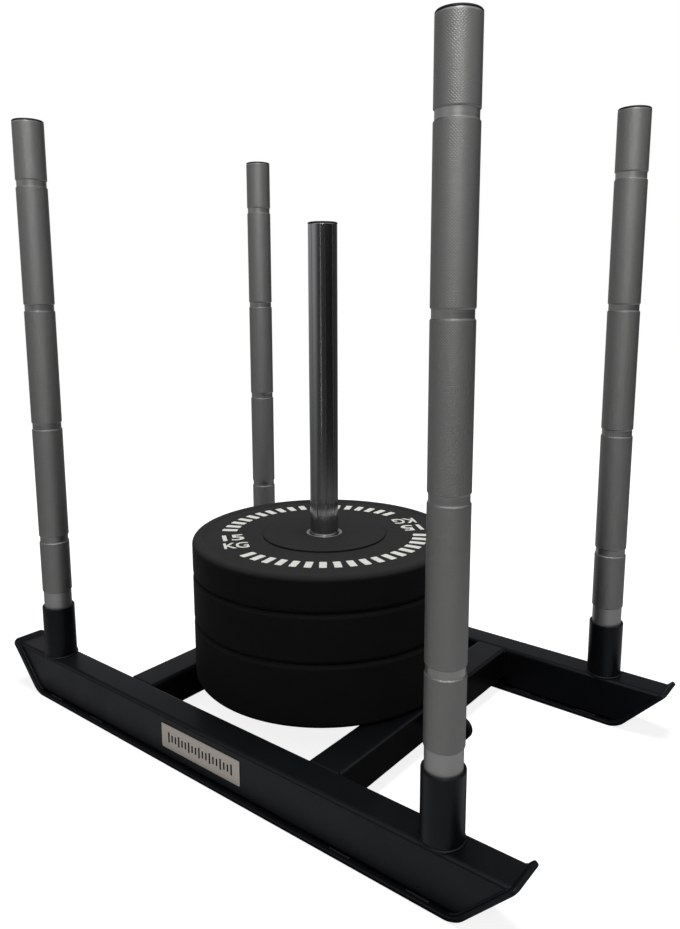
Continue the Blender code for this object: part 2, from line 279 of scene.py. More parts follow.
def lathe(name, points, centre, steps, closed=True):
    """Draw half of a section as a chain of edges, round its corners and spin it upright.

    A point is (radius, height) or (radius, height, rounding, segments), with the rounding
    measured along the edges from the corner.
    """
    cx, cy, cz = centre
    deselect()
    bpy.ops.mesh.primitive_plane_add(
        size=0.001, location=(cx + points[0][0], cy, cz + points[0][1]))
    ob = named(name)
    with editing(ob):
        pick_all()
        bpy.ops.mesh.merge(type="CENTER")
        for a, b in zip(points, points[1:]):
            bpy.ops.mesh.extrude_vertices_move(
                TRANSFORM_OT_translate={"value": (b[0] - a[0], 0.0, b[1] - a[1])})
        spots = [Vector((cx + p[0], cy, cz + p[1])) for p in points]
        if closed:
            pick(ob, "VERT", lambda v: min((v.co - spots[0]).length,
                                           (v.co - spots[-1]).length) < 1e-5)
            bpy.ops.mesh.edge_face_add()
        for point, spot in zip(points, spots):
            if len(point) > 2:
                pick(ob, "VERT", lambda v: (v.co - spot).length < 1e-5)
                bpy.ops.mesh.bevel(offset=point[2], segments=point[3], affect="VERTICES",
                                   profile=0.5)
        pick_all()
        bpy.ops.mesh.spin(steps=steps, angle=2 * pi, center=centre, axis=(0.0, 0.0, 1.0))
        pick_all()
        bpy.ops.mesh.remove_doubles(threshold=0.000002)
        bpy.ops.mesh.normals_make_consistent(inside=False)
    return ob


def copy_by(ob, name, shift):
    """A copy of a piece with its own mesh, moved by a distance."""
    take(ob)
    bpy.ops.object.duplicate_move(OBJECT_OT_duplicate={"linked": False},
                                  TRANSFORM_OT_translate={"value": shift})
    return named(name)


def on_poles(first, name):
    """Copy a piece made at the far front pole to all four places, in its stead. Each copy comes
    with its place's name."""
    for side_word, side in SIDES:
        for end_word, end in ENDS:
            word = side_word + "_" + end_word
            yield word, copy_by(first, name + word,
                                ((end - 1) * POLE_X, (side - 1) * RUNNER_Y, 0.0))
    bpy.data.objects.remove(first)


def joined(name, pieces):
    """Join objects into one piece."""
    take(pieces[0])
    for ob in pieces[1:]:
        ob.select_set(True)
    bpy.ops.object.join()
    return named(name)


def bead(start, end, radius, ripple):
    """A straight weld bead: a rod of many rings, every third one swollen to a ripple."""
    start, end = Vector(start), Vector(end)
    run = end - start
    way = run.normalized()
    count = max(4, round(run.length / RING_STEP))
    deselect()
    bpy.ops.mesh.primitive_cylinder_add(vertices=10, radius=radius, depth=run.length,
                                        location=(start + end) / 2,
                                        rotation=run.to_track_quat("Z", "Y").to_euler())
    ob = named("bead")
    with editing(ob):
        pick(ob, "EDGE", lambda e: abs((e.verts[1].co - e.verts[0].co).dot(way))
             > 0.9 * run.length)
        bpy.ops.mesh.subdivide(number_cuts=count)
        pick(ob, "FACE", lambda f: abs(f.normal.dot(way)) > 0.9)
        bpy.ops.mesh.inset(thickness=radius * 0.45, depth=radius * 0.3)
        step = run.length / (count + 1)
        pick(ob, "VERT", lambda v: round((v.co - start).dot(way) / step) % 3 == 1)
        bpy.ops.transform.shrink_fatten(value=ripple)
    return ob


def ring_bead(centre, radius, thick, ripple, ripples):
    """A weld bead round a tube's foot."""
    deselect()
    bpy.ops.mesh.primitive_torus_add(location=centre, major_segments=3 * ripples,
                                     minor_segments=10, major_radius=radius,
                                     minor_radius=thick)
    ob = named("ring")
    step = 2 * pi / (3 * ripples)

    def crest(v):
        out = (v.co - Vector(centre)).to_2d()
        return round(Vector((1.0, 0.0)).angle_signed(out) / step) % 3 == 0

    with editing(ob):
        pick(ob, "VERT", crest)
        bpy.ops.transform.shrink_fatten(value=ripple)
    return ob


def ready(ob, finish, body, slot, *nodes, angle=32):
    """Give a piece its finish if one is given, shade it so that its flat and straight faces stay
    true beside their rounded edges, hang it on the body that it rides on and hide the imported
    nodes that it stands for. The slot is not used."""
    if finish:
        ob.data.materials.append(finish)
    take(ob)
    bpy.ops.object.shade_smooth_by_angle(angle=radians(angle))
    modify(ob, "WEIGHTED_NORMAL", keep_sharp=True)
    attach(ob, body)
    if nodes:
        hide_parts(*nodes)


# Materials

COOL_GLOSS = "#e6f1ff"      # the gloss of the black coat is a little colder than the light on it
KNURL_STARTS = 46           # grooves round a pole, each way


def add(tree, kind, sockets=None, **settings):
    """Add a shader node with its settings, values and links."""
    node = tree.nodes.new("ShaderNode" + kind)
    for key, value in settings.items():
        setattr(node, key, value)
    for key, value in (sockets or {}).items():
        if isinstance(value, bpy.types.NodeSocket):
            tree.links.new(value, node.inputs[key])
        else:
            node.inputs[key].default_value = value
    return node


def new_material(name):
    """An empty material and its node tree."""
    made = bpy.data.materials.get(name)
    if made:
        bpy.data.materials.remove(made)
    made = bpy.data.materials.new(name)
    made.use_nodes = True
    made.node_tree.nodes.clear()
    return made, made.node_tree


def surface(made, sockets):
    """Put a Principled shader on a material's output."""
    shader = add(made.node_tree, "BsdfPrincipled", sockets)
    add(made.node_tree, "OutputMaterial", {0: shader.outputs[0]})
    return made


def shade(colour, factor=1.0):
    """A colour made darker or lighter, with its alpha."""
    return (*(min(1.0, c * factor) for c in colour), 1.0)


def place_on(tree):
    """Coordinates on the piece itself, in metres."""
    return add(tree, "TexCoord").outputs["Object"]


def parted(tree, vector):
    """The x, y and z of a vector."""
    return add(tree, "SeparateXYZ", {0: vector}).outputs


def maths(tree, operation, *values):
    return add(tree, "Math", dict(enumerate(values)), operation=operation).outputs[0]


def vectors(tree, operation, *values):
    return add(tree, "VectorMath", dict(enumerate(values)), operation=operation).outputs


def streaks(tree, scale, detail=2.0):
    """Noise on the piece's own coordinates: even cells, or streaks from a scale for each axis."""
    scale = scale if isinstance(scale, tuple) else (scale, scale, scale)
    stretch = add(tree, "Mapping", {0: place_on(tree), 3: scale}).outputs[0]
    return add(tree, "TexNoise", {0: stretch, "Scale": 1.0, "Detail": detail}).outputs[0]


def mixed(tree, factor, first, second):
    return add(tree, "Mix", {0: factor, 6: first, 7: second}, data_type="RGBA").outputs[2]


def tones(tree, pattern, colour, low, high):
    """A colour that a pattern makes a little darker here and lighter there."""
    return mixed(tree, pattern, shade(colour, low), shade(colour, high))


def spread(tree, value, low, high, start=0.3, end=0.7):
    """A value's range from start to end, turned into one from low to high."""
    return add(tree, "MapRange", {0: value, 1: start, 2: end, 3: low, 4: high}).outputs[0]


def ramp(tree, value, start, end, low, high):
    """The same with soft ends."""
    return add(tree, "MapRange", {0: value, 1: start, 2: end, 3: low, 4: high},
               interpolation_type="SMOOTHSTEP").outputs[0]


def bumped(tree, height, strength, distance, *below):
    """Normals over a height, and over a bump below it if there is one."""
    sockets = {"Height": height, "Strength": strength, "Distance": distance}
    if below:
        sockets["Normal"] = below[0]
    return add(tree, "Bump", sockets).outputs[0]


def blend(tree, factor, first, second):
    """Mix two shaders."""
    return add(tree, "MixShader", {0: factor, 1: first, 2: second}).outputs[0]


def satin_powder_coat(name, colour, roughness=0.33):
    """Baked polyester powder over steel: an even satin black with the faint orange peel of a
    fused powder, cells about 2 mm across, so its highlights are soft and a little broken."""
    made, tree = new_material(name)
    film = streaks(tree, 14.0)
    return surface(made, {
        "Base Color": tones(tree, film, colour, 0.86, 1.14),
        "Roughness": spread(tree, film, roughness - 0.04, roughness + 0.06),
        "Specular IOR Level": 0.30, "Specular Tint": shade(linear(COOL_GLOSS)),
        "Normal": bumped(tree, streaks(tree, 480.0), 0.22, 0.0004)})


def scuffed_skid_coat(name, colour):
    """The same powder coat on hot-rolled flat bar. The sliding face under it is drawn with fine
    scuffs along the runner, 1 to 2 mm apart."""
    made, tree = new_material(name)
    scuff = streaks(tree, (7.0, 700.0, 40.0), 3.0)
    under = spread(tree, parted(tree, place_on(tree))[2], 1.0, 0.0, 0.0004, 0.0014)
    marks = maths(tree, "MULTIPLY", spread(tree, scuff, 0.0, 1.0, 0.52, 0.70), under)
    return surface(made, {
        "Base Color": mixed(tree, marks, shade(colour), shade(linear("#6b6a67"))),
        "Roughness": spread(tree, scuff, 0.42, 0.54),
        "Specular IOR Level": 0.29, "Specular Tint": shade(linear(COOL_GLOSS)),
        "Normal": bumped(tree, streaks(tree, 430.0), 0.25, 0.0004)})


def drawn_chrome(name, colour):
    """Bright chrome over drawn steel tube: a mirror that the tube's lengthwise draw lines,
    about 1 mm apart round it, break into upright streaks."""
    made, tree = new_material(name)
    lines = streaks(tree, (900.0, 900.0, 2.2), 3.0)
    broad = streaks(tree, (160.0, 160.0, 0.7), 1.0)
    return surface(made, {
        "Base Color": tones(tree, broad, colour, 0.80, 1.08),
        "Metallic": 1.0, "Roughness": spread(tree, lines, 0.10, 0.20),
        "Normal": bumped(tree, lines, 0.10, 0.0003)})


def knurled_chrome(name, colour, pitch):
    """Dull chrome over a rolled diamond knurl, whose crests are torn a little, with painted shade
    in its grooves: they are drawn darker than the crests. The real diamonds are about 1.5 mm;
    they are drawn 3.4 mm along the pole, so that they show as the fine chevrons that the eye
    sees."""
    made, tree = new_material(name)
    folded = vectors(tree, "ABSOLUTE", place_on(tree))[0]
    x, y, z = parted(tree, vectors(tree, "SUBTRACT", folded, (POLE_X, RUNNER_Y, 0.0))[0])
    turn = maths(tree, "ARCTAN2", y, x)
    waves = []
    for way in (1.0, -1.0):
        helix = maths(tree, "MULTIPLY_ADD", turn, KNURL_STARTS / (2 * pi),
                      maths(tree, "MULTIPLY", z, way / pitch))
        waves.append(maths(tree, "PINGPONG", helix, 0.5))
    relief_and_groove_shade = spread(tree, maths(tree, "MINIMUM", *waves), 0.0, 1.0, 0.03, 0.30)
    torn = streaks(tree, (240.0, 240.0, 1100.0))
    body = tones(tree, streaks(tree, (30.0, 30.0, 6.0)), colour, 0.90, 1.08)
    return surface(made, {
        # Painted shade: the grooves take a darker copy of the chrome's colour than the crests.
        "Base Color": mixed(tree, relief_and_groove_shade, shade(colour, 0.86), body),
        "Metallic": 1.0, "Roughness": spread(tree, torn, 0.40, 0.58),
        "Normal": bumped(tree, torn, 0.50, 0.0004, bumped(tree, relief_and_groove_shade, 0.34, 0.0005))})


def turned_chrome(name, colour, roughness):
    """The poles' smooth bands and feet: chrome on a face turned in a lathe, whose fine rings
    are drawn 0.8 mm apart and spread the highlight up and down."""
    made, tree = new_material(name)
    rings = streaks(tree, (2.0, 2.0, 1250.0))
    return surface(made, {
        "Base Color": tones(tree, rings, colour, 0.88, 1.06),
        "Metallic": 1.0, "Roughness": spread(tree, rings, roughness - 0.05, roughness + 0.05),
        "Normal": bumped(tree, rings, 0.12, 0.0003)})


def moulded_rubber(name, colour):
    """Virgin rubber, press-moulded: matt near-black with a fine grain from the blasted mould,
    about 1 mm, and slow clouds where the bloom on it is thicker."""
    made, tree = new_material(name)
    grain = streaks(tree, 820.0, 3.0)
    speck = streaks(tree, 1500.0, 1.0)
    clouds = tones(tree, streaks(tree, (11.0, 11.0, 22.0), 3.0), colour, 0.84, 1.18)
    return surface(made, {
        "Base Color": mixed(tree, spread(tree, speck, 0.0, 0.5, 0.62, 0.75),
                            clouds, shade(linear("#413f3c"))),
        "Roughness": spread(tree, grain, 0.58, 0.74), "Specular IOR Level": 0.06,
        "Normal": bumped(tree, grain, 0.35, 0.0004)})


def turned_steel(name, colour):
    """Machined mild steel under clear zinc: bright, with rings of the cutting tool, drawn
    0.7 mm apart, on its end faces."""
    made, tree = new_material(name)
    x, y, z = parted(tree, place_on(tree))
    flat = add(tree, "CombineXYZ", {0: x, 1: y}).outputs[0]
    level = maths(tree, "ADD", z, vectors(tree, "LENGTH", flat)["Value"])
    rings = add(tree, "TexNoise", {"W": level, "Scale": 1400.0, "Detail": 2.0},
                noise_dimensions="1D").outputs[0]
    return surface(made, {
        "Base Color": tones(tree, rings, colour, 0.82, 1.08),
        "Metallic": 1.0, "Roughness": spread(tree, rings, 0.20, 0.34),
        "Normal": bumped(tree, rings, 0.15, 0.0003)})


def moulded_polyethylene(name, colour):
    """Injection-moulded polyethylene: waxy black with a spark-eroded grain of about 0.8 mm."""
    made, tree = new_material(name)
    grain = streaks(tree, 1250.0)
    return surface(made, {
        "Base Color": tones(tree, streaks(tree, 60.0), colour, 0.88, 1.15),
        "Roughness": spread(tree, grain, 0.40, 0.50), "IOR": 1.51,
        "Specular IOR Level": 0.45, "Normal": bumped(tree, grain, 0.2, 0.0003)})


def brushed_aluminium(name, colour):
    """Brushed and clear-lacquered aluminium sheet: pale grey with fine lines along it, drawn
    0.9 mm apart, that spread the light across them."""
    made, tree = new_material(name)
    lines = streaks(tree, (9.0, 100.0, 1100.0), 3.0)
    return surface(made, {
        "Base Color": tones(tree, lines, colour, 0.84, 1.10),
        "Metallic": 1.0, "Roughness": spread(tree, lines, 0.24, 0.36),
        "Normal": bumped(tree, lines, 0.15, 0.0003)})


def printed_ink(name, colour, worn):
    """Two-part ink, pad printed: flat and slightly uneven where the grain under it shows."""
    made, tree = new_material(name)
    grain = streaks(tree, 820.0, 3.0)
    return surface(made, {
        "Base Color": tones(tree, spread(tree, grain, 0.0, 1.0, 0.40, 0.75), colour, 1.0, worn),
        "Roughness": spread(tree, grain, 0.50, 0.62), "Specular IOR Level": 0.35,
        "Normal": bumped(tree, grain, 0.25, 0.0003)})


# Operators: one for each piece or group of like pieces

class SledOperator:
    """Builds its piece from the scene's sizes and colours."""
    bl_options = {"REGISTER", "UNDO"}

    def execute(self, context):
        self.build(context.scene.sled_sizes, context.scene.sled_colours)
        return {"FINISHED"}


class SLED_OT_runners(SledOperator, bpy.types.Operator):
    """Model the two runner tubes, cut on the slant at both ends"""
    bl_idname = "sled.runners"
    bl_label = "Runner tubes"

    def build(self, sizes, colours):
        coat = satin_powder_coat("satin_black_powder_coat", colours.coat)
        centre = SHOE_FLAT / 2 - sizes.nose_bend * tan(NOSE_ANGLE / 2)
        radius = sizes.nose_bend - TUBE_LO.z
        steps = 8               # flats that stand for the bend, then one for the slant
        cuts = []
        for end in (1, -1):
            for i in range(steps + 1):
                a = NOSE_ANGLE * (min(i + 0.5, steps) / steps)
                reach = radius * (1.0 if i == steps else cos(NOSE_ANGLE / steps / 2))
                cuts.append(((end * (centre + reach * sin(a)), 0.0,
                              sizes.nose_bend - reach * cos(a)), (end * sin(a), 0.0, -cos(a))))
        near = square_bar("runner_bar_near", (0.0, -RUNNER_Y, (TUBE_LO.z + TUBE_HI.z) / 2),
                          (1.12, TUBE_WIDTH, TUBE_HI.z - TUBE_LO.z), 0, sizes.tube_corner, cuts)
        far = copy_by(near, "runner_bar_far", (0.0, 2 * RUNNER_Y, 0.0))
        ready(near, coat, "frame", "frame_paint", "runner_tube_near")
        ready(far, coat, "frame", "frame_paint", "runner_tube_far")


class SLED_OT_skids(SledOperator, bpy.types.Operator):
    """Model the two flat skids with their turned-up ends"""
    bl_idname = "sled.skids"
    bl_label = "Skids"

    def build(self, sizes, colours):
        deselect()
        bpy.ops.mesh.primitive_plane_add(size=1.0, location=(0.0, -RUNNER_Y, 0.0))
        bpy.context.object.scale = (SHOE_FLAT, SHOE_WIDTH, 1.0)
        near = named("skid_near")
        half = SHOE_FLAT / 2
        reach = half + NOSE_LENGTH * cos(NOSE_ANGLE)
        with editing(near):
            for end in (1, -1):
                pick(near, "EDGE", lambda e: abs(middle(e).x - end * half) < 1e-4)
                bpy.ops.mesh.extrude_region_move(TRANSFORM_OT_translate={
                    "value": (end * NOSE_LENGTH * cos(NOSE_ANGLE), 0.0,
                              NOSE_LENGTH * sin(NOSE_ANGLE))})
            pick(near, "EDGE", lambda e: abs(abs(middle(e).x) - half) < 1e-4 and along(e, 1))
            bpy.ops.mesh.bevel(offset=sizes.nose_bend * tan(NOSE_ANGLE / 2), segments=8,
                               affect="EDGES")
            pick(near, "VERT", lambda v: abs(abs(v.co.x) - reach) < 1e-4)
            bpy.ops.mesh.bevel(offset=sizes.nose_corner, segments=6, affect="VERTICES")
            pick_all()
            bpy.ops.mesh.normals_make_consistent(inside=False)
            if sum(f.normal.z for f in bmesh.from_edit_mesh(near.data).faces) < 0:
                bpy.ops.mesh.flip_normals()
        modify(near, "SOLIDIFY", thickness=SHOE_THICK, offset=1.0, use_even_offset=True)
        round_edges(near, sizes.shoe_edge, 3, 50)
        coat = scuffed_skid_coat("skid_powder_coat", colours.skid)
        far = copy_by(near, "skid_far", (0.0, 2 * RUNNER_Y, 0.0))
        ready(near, coat, "frame", "skid_paint", "skid_shoe_near")
        ready(far, coat, "frame", "skid_paint", "skid_shoe_far")


class SLED_OT_cross_frame(SledOperator, bpy.types.Operator):
    """Model the two cross tubes and the beam that carries the pin"""
    bl_idname = "sled.cross_frame"
    bl_label = "Cross frame"

    def build(self, sizes, colours):
        coat = satin_powder_coat("cross_frame_powder_coat", colours.coat)
        front = square_bar("cross_bar_front", (CROSS_X, 0.0, CROSS_Z),
                           (CROSS_SIZE, CROSS_HI.y - CROSS_LO.y, CROSS_SIZE), 1,
                           sizes.tube_corner)
        rear = copy_by(front, "cross_bar_rear", (-2 * CROSS_X, 0.0, 0.0))
        beam = square_bar("pin_beam", (0.0, 0.0, CROSS_Z),
                          (BEAM_HI.x - BEAM_LO.x, CROSS_SIZE, CROSS_SIZE), 0,
                          sizes.tube_corner)
        ready(front, coat, "frame", "frame_paint", "cross_tube_front")
        ready(rear, coat, "frame", "frame_paint", "cross_tube_rear")
        ready(beam, coat, "frame", "frame_paint", "centre_beam")


class SLED_OT_tow_lug(SledOperator, bpy.types.Operator):
    """Model the tow lug: a plate on edge, round about its eye"""
    bl_idname = "sled.tow_lug"
    bl_label = "Tow lug"

    def build(self, sizes, colours):
        eye_x = LUG_LO.x - GAP + EYE_OUT
        outer = (LUG_HI.z - LUG_LO.z) / 2
        deselect()
        bpy.ops.mesh.primitive_circle_add(vertices=64, radius=outer,
                                          location=(eye_x, 0.0, CROSS_Z),
                                          rotation=(pi / 2, 0.0, 0.0))
        lug = named("tow_lug_plate")
        with editing(lug):
            pick(lug, "VERT", lambda v: v.co.x < eye_x - 1e-5)
            bpy.ops.mesh.delete(type="VERT")
            pick(lug, "VERT", lambda v: v.co.x < eye_x + 1e-5)
            bpy.ops.mesh.extrude_vertices_move(
                TRANSFORM_OT_translate={"value": (LUG_LO.x - eye_x, 0.0, 0.0)})
            bpy.ops.mesh.edge_face_add()
            bpy.ops.mesh.primitive_circle_add(vertices=48, radius=EYE / 2,
                                              location=(eye_x, 0.0, CROSS_Z),
                                              rotation=(pi / 2, 0.0, 0.0))
            pick_all()
            bpy.ops.mesh.bridge_edge_loops()
        modify(lug, "SOLIDIFY", thickness=LUG_HI.y - LUG_LO.y, offset=0.0)
        round_edges(lug, 0.0012, 3, 50)
        coat = satin_powder_coat("tow_lug_powder_coat", colours.coat, 0.42)
        ready(lug, coat, "frame", "frame_paint", "tow_lug")


class SLED_OT_welds(SledOperator, bpy.types.Operator):
    """Model the weld beads: round the sockets, at the tubes' ends, at the lug and the skids"""
    bl_idname = "sled.welds"
    bl_label = "Weld beads"

    def build(self, sizes, colours):
        coat = satin_powder_coat("coated_weld_bead", colours.coat, 0.36)
        r, ripple = sizes.bead, sizes.ripple
        ring = ring_bead((POLE_X, RUNNER_Y, FRAME_TOP + 0.0006), SOCKET_R - 0.0006, r * 0.95,
                         ripple, 54)
        rings = [ob for _, ob in on_poles(ring, "ring_")]
        rings.append(ring_bead((0.0, 0.0, FRAME_TOP + 0.0001), PIN_R + 0.0001, 0.0009, 0.0001,
                               40))

        inner = RUNNER_Y - TUBE_WIDTH / 2
        half = CROSS_SIZE / 2
        low, high = CROSS_Z - half + 0.004, CROSS_Z + half - 0.005
        top = FRAME_TOP - 0.0022
        joints = []
        for side in (-1, 1):
            for end in (1, -1):
                x, y = end * CROSS_X, side * (inner + 0.0005)
                joints.append(bead((x - half + 0.005, y, top), (x + half - 0.005, y, top),
                                   r * 0.85, ripple))
                uprights = [(x + way * half, side * (inner - 0.0004)) for way in (-1, 1)]
                uprights.append((end * (CROSS_X - half - 0.0004), side * half))
                for x, y in uprights:
                    joints.append(bead((x, y, low), (x, y, high), r * 0.9, ripple))
            joints.append(bead((LUG_LO.x, side * LUG_HI.y, LUG_LO.z + 0.002),
                               (LUG_LO.x, side * LUG_HI.y, LUG_HI.z - 0.002), r * 0.8, ripple))

        stitches = []
        half_stitch = 0.016
        slant = 0.082           # how far a seam goes up a skid's turned-up end
        bend = sizes.nose_bend - TUBE_LO.z
        centre = SHOE_FLAT / 2 - sizes.nose_bend * tan(NOSE_ANGLE / 2)
        seam = [(centre + bend * sin(a), sizes.nose_bend - bend * cos(a))
                for a in (NOSE_ANGLE * i / 4 for i in range(1, 5))]
        seam.append((seam[-1][0] + slant * cos(NOSE_ANGLE),
                     seam[-1][1] + slant * sin(NOSE_ANGLE)))
        for side in (-1, 1):
            for face in (-1, 1):
                y = side * RUNNER_Y + face * TUBE_WIDTH / 2
                for spot in (-0.385, -0.265, -0.105, 0.105, 0.265, 0.385):
                    if abs(spot) > 0.2 or face != side:
                        stitches.append(bead((spot - half_stitch, y, TUBE_LO.z),
                                             (spot + half_stitch, y, TUBE_LO.z), r * 0.8, ripple))
                for end in (1, -1):
                    for a, b in zip(seam, seam[1:]):
                        stitches.append(bead((end * a[0], y, a[1]), (end * b[0], y, b[1]),
                                             r * 0.7, ripple * 0.6))
        for name, beads in (("rings", rings), ("joints", joints), ("stitches", stitches)):
            ready(joined("weld_" + name, beads), coat, "frame", "frame_paint", angle=60)


class SLED_OT_badge(SledOperator, bpy.types.Operator):
    """Model the badge on the near runner: a blank brushed plate with a plain scale"""
    bl_idname = "sled.badge"
    bl_label = "Badge"

    def build(self, sizes, colours):
        face = -RUNNER_Y - TUBE_WIDTH / 2
        thick, long, tall = sizes.badge_thick, sizes.badge_length, sizes.badge_height
        x, z = -0.0025, 0.0457
        plate = block("badge_plate", (x, face - thick / 2, z), (long, thick, tall))
        with editing(plate):
            round_along(plate, 1, 0.0020, 5)
            for step, depth in ((0.0012, 0.0), (0.0003, -0.00020), (0.0003, 0.00020)):
                pick(plate, "FACE", lambda f: f.normal.y < -0.9
                     and f.calc_area() > 0.6 * long * tall)
                bpy.ops.mesh.inset(thickness=step, depth=depth)
        round_edges(plate, 0.0002, 2, 60)
        sheet = brushed_aluminium("brushed_badge_sheet", colours.badge)
        ready(plate, sheet, "frame", "frame_paint")

        bars = []
        count, margin, width, ink = 19, 0.017, 0.0030, 0.0004
        for i in range(count):
            at = x + (i - (count - 1) / 2) * (long - 2 * margin) / (count - 1)
            height = 0.0115 if i % 3 else 0.017
            bar = block("bar", (at, face - thick - 0.00005, z), (width, ink, height))
            with editing(bar):
                round_along(bar, 1, 0.0008, 3)
            bars.append(bar)
        ready(joined("badge_scale", bars), printed_ink("dark_badge_ink", colours.scale, 1.5),
              "frame", "frame_paint")


class SLED_OT_loading_pin(SledOperator, bpy.types.Operator):
    """Model the upright loading pin"""
    bl_idname = "sled.loading_pin"
    bl_label = "Loading pin"

    def build(self, sizes, colours):
        top = PIN_HI.z - PIN_LO.z
        inside = PIN_R - PIN_WALL
        pin = lathe("loading_pin", [(inside, top), (PIN_R, top, 0.0009, 4), (PIN_R, 0.3),
                                    (PIN_R, 0.0), (inside, 0.0)],
                    (0.0, 0.0, PIN_LO.z), 128)
        ready(pin, drawn_chrome("drawn_tube_chrome", colours.chrome), "frame", "pin_chrome",
              "weight_pin")


class SLED_OT_discs(SledOperator, bpy.types.Operator):
    """Model the three rubber bumper plates"""
    bl_idname = "sled.discs"
    bl_label = "Bumper plates"

    def build(self, sizes, colours):
        rubber = moulded_rubber("moulded_black_rubber", colours.rubber)
        bore, round_edge = BUSH_R + GAP, sizes.rim_round
        hub, rim = HUB_R - 0.0006, DISC_R - round_edge - RIM_FLAT
        for level in LEVELS:
            lo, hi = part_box("bumper_plate_" + level)
            thick = hi.z - lo.z
            sunk = thick - FACE_SUNK
            upper = [(bore, thick, 0.0006, 2), (hub, thick, 0.0008, 3),
                     (hub, sunk - HUB_GROOVE, 0.0006, 2),
                     (HUB_R + 0.0012, sunk - HUB_GROOVE, 0.0006, 2),
                     (HUB_R + 0.0024, sunk, 0.0006, 2), (rim - 0.0026, sunk, 0.0016, 3),
                     (rim, thick, 0.0016, 3), (DISC_R, thick, round_edge, 10)]
            lower = [(r, thick - z, *rest) for r, z, *rest in reversed(upper)]
            disc = lathe("rubber_disc_" + level, upper + lower, (0.0, 0.0, lo.z), 160)
            ready(disc, rubber, "plate_" + level, "plate_rubber", "bumper_plate_" + level)


class SLED_OT_bushes(SledOperator, bpy.types.Operator):
    """Model the steel bushes in the discs' bores"""
    bl_idname = "sled.bushes"
    bl_label = "Hub bushes"

    def build(self, sizes, colours):
        steel = turned_steel("turned_zinc_steel", colours.bush)
        for level in LEVELS:
            lo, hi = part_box("hub_bush_" + level)
            thick = hi.z - lo.z
            bush = lathe("steel_bush_" + level,
                         [(BUSH_R, thick, 0.0006, 3), (BUSH_R, 0.0, 0.0006, 3),
                          (BUSH_BORE, 0.0, 0.0030, 5), (BUSH_BORE, thick, 0.0030, 5)],
                         (0.0, 0.0, lo.z), 96)
            ready(bush, steel, "plate_" + level, "bush_steel", "hub_bush_" + level)


class SLED_OT_markings(SledOperator, bpy.types.Operator):
    """Print plain bars and weight figures on the discs"""
    bl_idname = "sled.markings"
    bl_label = "Disc markings"

    figures = {"lower": "25", "middle": "20", "upper": "15"}
    block_angle = radians(-123.0)      # the figures stand across the disc from each other
    lean = radians(5.0)
    arcs = (radians(-97.0), radians(83.0))
    sweep = radians(130.0)
    bars = 18

    def word(self, body, size, z, ink, tight, out, across):
        """Figures or letters, read from the rim inwards, turned to one side of the disc."""
        deselect()
        bpy.ops.object.text_add(location=(0.0, 0.0, 0.0))
        text = bpy.context.object.data
        text.body = body
        text.align_x = "CENTER"
        text.size = 1.0
        text.extrude = 0.01
        text.offset = 0.018
        text.space_character = tight
        bpy.ops.object.convert(target="MESH")
        ob = bpy.context.object
        spots = [v.co for v in ob.data.vertices]
        low = Vector([min(c[i] for c in spots) for i in range(3)])
        high = Vector([max(c[i] for c in spots) for i in range(3)])
        with editing(ob):
            pick_all()
            bpy.ops.mesh.remove_doubles(threshold=0.0001)
            bpy.ops.transform.translate(value=-(low + high) / 2)
            bpy.ops.transform.resize(value=(size[0] / (high.x - low.x),
                                            size[1] / (high.y - low.y), ink / (high.z - low.z)),
                                     center_override=(0.0, 0.0, 0.0))
        turn = self.block_angle + pi - self.lean
        place = Vector((out * cos(self.block_angle), out * sin(self.block_angle), z))
        ob.rotation_euler = (0.0, 0.0, turn)
        ob.location = place + across * Vector((-sin(turn), cos(turn), 0.0))
        return named("figure")

    def build(self, sizes, colours):
        ink = printed_ink("white_pad_ink", colours.ink, 0.72)
        inner, outer, thick, tall = sizes.mark_inner, sizes.mark_outer, sizes.ink, sizes.figure
        for level in LEVELS:
            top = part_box("bumper_plate_" + level)[1].z
            z = top - FACE_SUNK + thick / 2 - 0.0001
            pieces = []
            for start in self.arcs:
                bar = block("bar", ((inner + outer) / 2, 0.0, z),
                            (outer - inner, sizes.mark_width, thick))
                with editing(bar):
                    round_along(bar, 2, 0.0016, 3)
                    pick_all()
                    bpy.ops.mesh.spin(steps=self.bars - 1, dupli=True, angle=-self.sweep,
                                      center=(0.0, 0.0, z), axis=(0.0, 0.0, 1.0))
                bar.rotation_euler.z = start
                take(bar)
                pieces.append(named("bars"))
            for turn in (0.0, pi):
                for ob in [self.word(self.figures[level], (tall * 1.15, tall), z, thick,
                                     tight=0.86, out=0.1565, across=0.0225),
                           self.word("KG", (tall * 1.30, tall * 0.95), z, thick,
                                     tight=0.96, out=0.1560, across=-0.0205)]:
                    ob.rotation_euler.z = turn
                    take(ob)
                    pieces.append(named("figure"))
            ready(joined("disc_marks_" + level, pieces), ink, "plate_" + level, "plate_rubber")


class SLED_OT_sockets(SledOperator, bpy.types.Operator):
    """Model the four pole sockets"""
    bl_idname = "sled.sockets"
    bl_label = "Pole sockets"

    def build(self, sizes, colours):
        coat = satin_powder_coat("socket_powder_coat", colours.coat, 0.38)
        top = SOCKET_HI.z - SOCKET_LO.z
        first = lathe("first", [(SOCKET_R, top, 0.0009, 3), (SOCKET_R, 0.0),
                                (SOCKET_BORE, 0.0), (SOCKET_BORE, top, 0.0009, 3)],
                      (POLE_X, RUNNER_Y, SOCKET_LO.z), 96)
        for word, socket in on_poles(first, "socket_"):
            ready(socket, coat, "frame", "frame_paint", "pole_socket_" + word)


